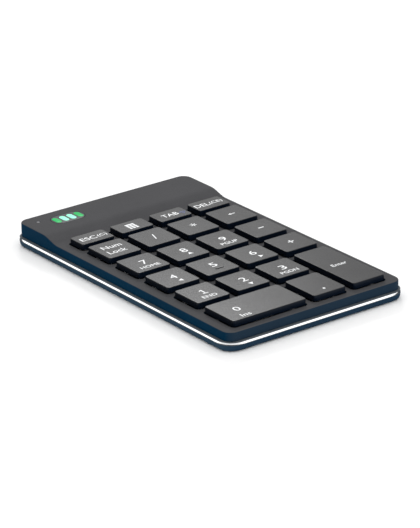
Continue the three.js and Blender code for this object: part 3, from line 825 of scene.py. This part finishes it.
def build_cover():
    """Shell of the upper cover with a rounded top edge, cut for the keys, windows, socket and switch."""
    low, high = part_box("top_cover")
    half_x, half_y = (high.x - low.x) / 2, (high.y - low.y) / 2
    hump = high.z
    deck = hump - DECK_DROP
    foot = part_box("trim_strip")[1].z + LIP + SEAM
    samples = 28
    start, end = SLOPE_START - 3 * MM, SLOPE_END + 3 * MM
    sides = [start + (end - start) * i / samples for i in range(samples + 1)]

    def top_at(drop):
        return lambda y: cover_height(y, hump, deck) - drop

    def ring(inset, height_at):
        return cover_ring(half_x, half_y, COVER_CORNER, inset, height_at, sides)

    rings = [
        ring(WALL, top_at(SKIN)),
        ring(WALL, lambda y: foot + 0.1 * MM),
        ring(WALL - 0.1 * MM, lambda y: foot),
        ring(0.15 * MM, lambda y: foot),
        ring(0, lambda y: foot + 0.15 * MM),
    ]
    steps = 5
    for step in range(steps + 1):
        angle = math.pi / 2 * step / steps
        inset = COVER_EDGE * (1 - math.cos(angle))
        rings.append(ring(inset, top_at(COVER_EDGE * (1 - math.sin(angle)))))
    rings.append(ring(COVER_EDGE + 0.3 * MM, top_at(0)))

    bm = bmesh.new()
    layers = [[bm.verts.new(point) for point in r] for r in rings]
    for lower, upper in zip(layers, layers[1:]):
        for i in range(len(lower)):
            j = (i + 1) % len(lower)
            bm.faces.new((lower[i], lower[j], upper[j], upper[i]))
    bridge_sides(bm, layers[-1], True)
    bridge_sides(bm, layers[0], False)
    cover = new_object("upper_cover", bm)
    cut(cover, [key_opening(key, deck) for key in KEYS] + bay_openings(half_y, hump))
    even_normals(cover)
    place(cover, CASE, "cover_plastic", MATERIALS["cover"], "top_cover")


def key_opening(key, deck):
    """Cutter for a key's opening, flared at the deck so that its edge is rounded."""
    low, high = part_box(f"keycap_{key}")
    half_x = (high.x - low.x) / 2 + OPENING_GAP
    half_y = (high.y - low.y) / 2 + OPENING_GAP
    centre = ((low.x + high.x) / 2, (low.y + high.y) / 2)
    edge = OPENING_EDGE
    profile = [(0, deck - 3 * MM), (0, deck - edge), (-edge * 0.3, deck - edge * 0.3), (-edge, deck)]
    profile += [(-edge, deck + 1 * MM)]
    return stack(half_x, half_y, CAP_CORNER + OPENING_GAP, profile, centre, 6)


def window_cutter(node, flange, hump):
    """Cutter for a light window: its rim is a hair wider than the lens."""
    low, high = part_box(node)
    centre = ((low.x + high.x) / 2, (low.y + high.y) / 2)
    half_x = (high.x - low.x) / 2 - flange + 0.1 * MM
    half_y = (high.y - low.y) / 2 - flange + 0.1 * MM
    edge = 0.1 * MM
    profile = [(0, hump - 3 * MM), (0, hump - edge), (-edge, hump), (-edge, hump + 1 * MM)]
    return stack(half_x, half_y, min(half_x, half_y) - 0.01 * MM, profile, centre, 10)


def back_cutter(x, z, half_x, half_z, radius, half_y):
    """Cutter for a rounded slot through the back wall."""
    def upright(points, y):
        return [Vector((p.x, y, p.y)) for p in points]
    edge = 0.15 * MM
    depths = [(0, half_y - 3 * MM), (0, half_y - edge), (-edge, half_y), (-edge, half_y + 1 * MM)]
    return [
        upright(outline(half_x - inset, half_z - inset, radius - inset, 0, (x, z)), y)
        for inset, y in depths
    ]


def bay_openings(half_y, hump):
    """Cutters for the two light windows, the charging socket and the power switch."""
    socket = centre_of("charge_socket")
    switch = centre_of("power_switch")
    travel = next(j for j in frame["joints"] if j["name"] == "power_switch_slide")["range_m"][1]
    return [
        window_cutter("status_light_window", 0.9 * MM, hump),
        window_cutter("charge_light_window", 0.5 * MM, hump),
        back_cutter(socket.x, socket.z, 4.77 * MM, 1.85 * MM, 1.8 * MM, half_y),
        back_cutter(
            switch.x + travel / 2, switch.z, GRIP_HALF.x + travel / 2 + 0.3 * MM, GRIP_HALF.z + 0.25 * MM,
            0.5 * MM, half_y),
    ]


# ------------------------------------------------------------------ lower case, strip, feet, screws

def strip_box():
    low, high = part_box("trim_strip")
    return high.x, high.y, low.z, high.z


def build_lower_case():
    """Tray with a rounded belly, a groove for the strip and a rounded ledge."""
    half_x, half_y, strip_low, strip_high = strip_box()
    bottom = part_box("bottom_cover")[0].z
    ledge = strip_high + LIP
    inner = half_x - (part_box("top_cover")[1].x - WALL)
    profile = [(6 * MM, bottom), (BELLY_IN, bottom)]
    belly_steps = 10
    for step in range(1, belly_steps + 1):
        angle = math.pi / 2 * step / belly_steps
        profile.append((BELLY_IN * (1 - math.sin(angle)), bottom + BELLY * (1 - math.cos(angle))))
    profile += [(0, strip_low - 0.12 * MM), (0.07 * MM, strip_low - SEAM)]
    profile += [(STRIP_DEPTH + 0.05 * MM, strip_low - SEAM), (STRIP_DEPTH + 0.05 * MM, strip_high + SEAM)]
    profile += [(0.1 * MM, strip_high + SEAM), (0.08 * MM, strip_high + 0.1 * MM)]
    profile += [(0.16 * MM, ledge - 0.12 * MM), (0.35 * MM, ledge - 0.05 * MM), (0.7 * MM, ledge)]
    profile += [(inner - 0.2 * MM, ledge)]
    profile += [(inner, ledge - 0.2 * MM), (inner, FLOOR_TOP + 0.5 * MM), (inner + 0.5 * MM, FLOOR_TOP)]
    profile += [(inner + 6 * MM, FLOOR_TOP)]
    case = lofted("lower_case", stack(half_x, half_y, RIM_CORNER, profile, segments=14))
    recesses = [
        [circle(SCREW_HEAD + 0.2 * MM, bottom - 1 * MM, at), circle(SCREW_HEAD + 0.2 * MM, bottom, at),
         circle(SCREW_HEAD + 0.15 * MM, bottom + SCREW_RECESS, at)]
        for at in SCREW_PLACES
    ]
    pockets = []
    for node in ("foot_front", "foot_back"):
        low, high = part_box(node)
        centre = ((low.x + high.x) / 2, (low.y + high.y) / 2)
        half = ((high.x - low.x) / 2 + 0.15 * MM, (high.y - low.y) / 2 + 0.15 * MM)
        profile = [(0, bottom - 1 * MM), (0, bottom + 0.4 * MM)]
        pockets.append(stack(*half, 1.5 * MM, profile, centre))
    cut(case, recesses + pockets)
    even_normals(case)
    place(case, CASE, "lower_case_plastic", MATERIALS["lower"], "bottom_cover")


def build_strip():
    """White strip with a slightly crowned face, set back a little more at the corners of the rim."""
    half_x, half_y, low, high = strip_box()
    crown = 0.05 * MM
    face = [(crown, low), (0.01 * MM, low + 0.15 * MM), (0, (low + high) / 2)]
    face += [(0.01 * MM, high - 0.15 * MM), (crown, high)]
    rings = stack(half_x - STRIP_SET_BACK, half_y - STRIP_SET_BACK, STRIP_CORNER, face, segments=14)
    rings += stack(half_x, half_y, RIM_CORNER, [(STRIP_DEPTH, high), (STRIP_DEPTH, low)], segments=14)
    strip = lofted("rim_strip", rings, loop=True)
    place(strip, CASE, "white_strip", MATERIALS["strip"], "trim_strip")


def build_foot(node):
    """Rubber strip with rounded edges and grip grooves across its sole."""
    low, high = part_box(node)
    centre = ((low.x + high.x) / 2, (low.y + high.y) / 2)
    half_x, half_y = (high.x - low.x) / 2, (high.y - low.y) / 2
    edge = 0.25 * MM
    profile = arc(edge, low.z + edge, edge, -90, 0, 3) + [(0, high.z)]
    foot = lofted(f"{node}_pad", stack(half_x, half_y, 1.4 * MM, profile, centre))
    grooves = []
    for step in range(-9, 10):
        at = (centre[0] + step * 3.1 * MM, centre[1])
        depths = [(0, low.z - 0.5 * MM), (0, low.z + 0.2 * MM), (0.1 * MM, low.z + 0.28 * MM)]
        grooves.append(stack(0.3 * MM, half_y - 0.9 * MM, 0.28 * MM, depths, at, 4))
    cut(foot, grooves)
    place(foot, CASE, "foot_rubber", MATERIALS["foot"], node)


def build_screw(index, at):
    """Pan-head screw with a cross recess, standing in the lower case's recess."""
    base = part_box("bottom_cover")[0].z + SCREW_RECESS - 0.05 * MM
    face = base - 0.5 * MM
    radius = SCREW_HEAD
    sections = [(0.8 * MM, base + 3.5 * MM), (0.8 * MM, base), (radius, base), (radius, base - 0.2 * MM)]
    sections += [(radius * 0.93, base - 0.38 * MM), (radius * 0.75, face), (radius * 0.5, face - 0.04 * MM)]
    screw = lofted(f"case_screw_{index}", [circle(r, z, at) for r, z in sections])
    cross = []
    for half in ((0.9 * MM, 0.2 * MM), (0.2 * MM, 0.9 * MM)):
        depths = [(0, face - 0.5 * MM), (0, face + 0.1 * MM), (0.08 * MM, face + 0.4 * MM)]
        cross.append(stack(*half, 0.1 * MM, depths, at, 3))
    cut(screw, cross[:1])
    cut(screw, cross[1:])
    place(screw, CASE, "steel", MATERIALS["plate"])


# ------------------------------------------------------------------ lights, socket, switch

GRIP_HALF = Vector((1.6, 0, 0.8)) * MM
BAR_HALF = Vector((1.25, 2.7, 0)) * MM
BAR_STEPS = [step * 3.5 * MM for step in (-1.5, -0.5, 0.5, 1.5)]


def build_window(name, node, flange, slot, material):
    """Lens of a light window, gently crowned and level with the bay."""
    low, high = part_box(node)
    centre = ((low.x + high.x) / 2, (low.y + high.y) / 2)
    half_x = (high.x - low.x) / 2 - flange
    half_y = (high.y - low.y) / 2 - flange
    radius = min(half_x, half_y) - 0.01 * MM
    top = high.z
    profile = [(-flange, low.z), (-flange, low.z + 0.4 * MM), (0, low.z + 0.45 * MM), (0, top - 0.12 * MM)]
    profile += [(0.04 * MM, top - 0.05 * MM), (0.15 * MM, top - 0.01 * MM), (0.5 * radius, top)]
    lens = lofted(name, stack(half_x, half_y, radius, profile, centre, 14))
    place(lens, CASE, slot, material, node)
    return Vector((*centre, top))


def build_lights():
    """Status window with its row of lit bars, and the charge light."""
    at = build_window("status_lens", "status_light_window", 0.9 * MM, "status_light", MATERIALS["smoke"])
    for index, dx in enumerate(BAR_STEPS):
        profile = [(0, at.z - 0.02 * MM), (0.02 * MM, at.z + 0.03 * MM), (0.1 * MM, at.z + 0.05 * MM)]
        rings = stack(BAR_HALF.x, BAR_HALF.y, BAR_HALF.x - 0.01 * MM, profile, (at.x + dx, at.y), 6)
        tone = "lit_green" if index in (0, len(BAR_STEPS) - 1) else "lit_mint"
        place(lofted(f"status_bar_{index}", rings), CASE, "status_light", MATERIALS[tone])
    build_window("charge_lens", "charge_light_window", 0.5 * MM, "clear_light", MATERIALS["pale_lens"])


def upright_loft(name, sections, x, z, y_values):
    """Loft of XZ outlines along Y: sections are (half_x, half_z, radius)."""
    rings = []
    for (half_x, half_z, radius), y in zip(sections, y_values):
        rings.append([Vector((p.x, y, p.y)) for p in outline(half_x, half_z, radius, 0, (x, z), 7)])
    return lofted(name, rings)


def build_socket():
    """Charging socket: drawn metal shell, black tongue and gold contacts."""
    low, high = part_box("charge_socket")
    x, z = (low.x + high.x) / 2, (low.z + high.z) / 2
    half_x, half_z = (high.x - low.x) / 2, (high.z - low.z) / 2
    wall = 0.3 * MM
    back, mouth = low.y, high.y
    outer = (half_x, half_z, half_z - 0.02 * MM)
    inner = (half_x - wall, half_z - wall, half_z - wall - 0.02 * MM)
    rounded = (half_x - wall / 2, half_z - wall / 2, half_z - wall / 2 - 0.02 * MM)
    shell = upright_loft(
        "socket_shell", [outer, outer, rounded, inner, inner], x, z,
        [back, mouth - 0.12 * MM, mouth, mouth - 0.12 * MM, back + 0.8 * MM])
    place(shell, CASE, "steel", MATERIALS["steel"], "charge_socket")
    tongue_size = [(3.35 * MM, 0.35 * MM, 0.12 * MM)] * 2 + [(3.25 * MM, 0.25 * MM, 0.1 * MM)]
    tongue = upright_loft(
        "socket_tongue", tongue_size, x, z, [back + 0.82 * MM, mouth - 1.9 * MM, mouth - 1.75 * MM])
    place(tongue, CASE, "steel", MATERIALS["dark"])
    bm = bmesh.new()
    for side in (-1, 1):
        for step in range(-5, 6):
            pad = bar(0.25 * MM, 2.6 * MM, x + step * 0.5 * MM, mouth - 3.4 * MM)
            height = z + side * 0.355 * MM
            ring = [Vector((px, py, height)) for px, py in pad]
            loft(bm, [ring, [p + Vector((0, 0, side * 0.03 * MM)) for p in ring]])
    place(new_object("socket_contacts", bm), CASE, "steel", MATERIALS["gold"])


def build_switch_grip():
    """Slider of the power switch: a retaining plate inside and a ridged grip outside."""
    low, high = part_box("power_switch")
    x, z = (low.x + high.x) / 2, (low.z + high.z) / 2
    plate_half = ((high.x - low.x) / 2, (high.z - low.z) / 2)
    grip = (GRIP_HALF.x, GRIP_HALF.z, 0.25 * MM)
    plate = (*plate_half, 0.3 * MM)
    tip = high.y
    edge = 0.12 * MM
    sections = [plate, plate, grip, grip, (GRIP_HALF.x - edge, GRIP_HALF.z - edge, 0.15 * MM)]
    y_values = [low.y, low.y + 0.8 * MM, low.y + 0.8 * MM, tip - edge, tip]
    slider = upright_loft("power_slider", sections, x, z, y_values)
    ridges = []
    for step in (-2, -1, 0, 1, 2):
        at = x + step * 0.55 * MM
        depths = [(0.12 * MM, tip - 0.25 * MM), (0.14 * MM, tip + 0.3 * MM)]
        ridges.append([
            [Vector((at - w, y, z - 1 * MM)), Vector((at + w, y, z - 1 * MM)),
             Vector((at + w, y, z + 1 * MM)), Vector((at - w, y, z + 1 * MM))]
            for w, y in depths
        ])
    cut(slider, ridges)
    place(slider, "power_switch", "switch_plastic", MATERIALS["dark"], "power_switch")


# ------------------------------------------------------------------ carried-over CAD nodes

def dress_inner_parts():
    """Gives the CAD nodes that stay visible their materials."""
    finishes = {
        "key_plate": "plate", "membrane": "film", "circuit_board": "board", "battery": "pouch",
        "stabiliser_bar_0": "steel", "stabiliser_bar_enter": "steel",
    }
    for node, finish in finishes.items():
        mesh = frame["nodes"][node].data
        mesh.materials.clear()
        mesh.materials.append(MATERIALS[finish])


# ------------------------------------------------------------------ stage

def build_camera():
    """Camera at the angle of the view wanted."""
    across = Vector((math.cos(CAMERA_AZIMUTH), math.sin(CAMERA_AZIMUTH), 0))
    back = Vector((
        math.sin(CAMERA_AZIMUTH) * math.cos(CAMERA_ELEVATION),
        -math.cos(CAMERA_AZIMUTH) * math.cos(CAMERA_ELEVATION),
        math.sin(CAMERA_ELEVATION),
    ))
    up = back.cross(across)
    right = across * math.cos(CAMERA_ROLL) + up * math.sin(CAMERA_ROLL)
    upward = up * math.cos(CAMERA_ROLL) - across * math.sin(CAMERA_ROLL)
    data = bpy.data.cameras.new("camera")
    data.lens = CAMERA_LENS
    data.sensor_width = CAMERA_SENSOR
    data.clip_end = CAMERA_FAR
    camera = bpy.data.objects.new("camera", data)
    camera.matrix_world = Matrix.Translation(CAMERA_TARGET + back * CAMERA_DISTANCE) @ Matrix((
        right, upward, back)).transposed().to_4x4()
    bpy.context.scene.collection.objects.link(camera)
    bpy.context.scene.camera = camera


def build_floor():
    """Plain pale floor."""
    bm = bmesh.new()
    corners = ((-1, -1), (1, -1), (1, 1), (-1, 1))
    bm.faces.new([bm.verts.new((x * FLOOR_HALF, y * FLOOR_HALF, FLOOR_Z)) for x, y in corners])
    floor = new_object("floor", bm)
    finish = Finish("floor_white", 0.9)
    cloud = finish.noise(3, 2)
    finish.colour(finish.ramp(cloud, [(0.3, srgb(250, 250, 250)), (0.7, srgb(254, 254, 254))]))
    floor.data.materials.append(finish.material)


def build_softbox():
    """Area light aimed at the keypad, which gives the caps their sheen on the left."""
    data = bpy.data.lights.new("back_softbox", "AREA")
    data.shape = "RECTANGLE"
    data.size, data.size_y = SOFTBOX_SIZE
    data.energy = SOFTBOX_POWER
    light = bpy.data.objects.new("back_softbox", data)
    light.location = SOFTBOX_AT
    light.rotation_euler = (-SOFTBOX_AT).to_track_quat("-Z", "Y").to_euler()
    light.visible_camera = False
    bpy.context.scene.collection.objects.link(light)


def build_lighting():
    """White surroundings and the softbox."""
    world = bpy.data.worlds.new("studio")
    world.use_nodes = True
    background = world.node_tree.nodes["Background"]
    background.inputs["Color"].default_value = (1, 1, 1, 1)
    background.inputs["Strength"].default_value = WORLD_STRENGTH
    bpy.context.scene.world = world
    build_softbox()
    bpy.context.scene.view_settings.view_transform = "Standard"


# ------------------------------------------------------------------ assembly

KEYS = sorted(body[len("keycap_"):] for body in frame["bodies"] if body.startswith("keycap_"))

build_camera()
for key in KEYS:
    build_key(key)
    build_switch(key)
build_dome_sheet()
build_cover()
build_lower_case()
build_strip()
for node in ("foot_front", "foot_back"):
    build_foot(node)
for index, at in enumerate(SCREW_PLACES):
    build_screw(index, at)
build_lights()
build_socket()
build_switch_grip()
dress_inner_parts()
build_floor()
build_lighting()
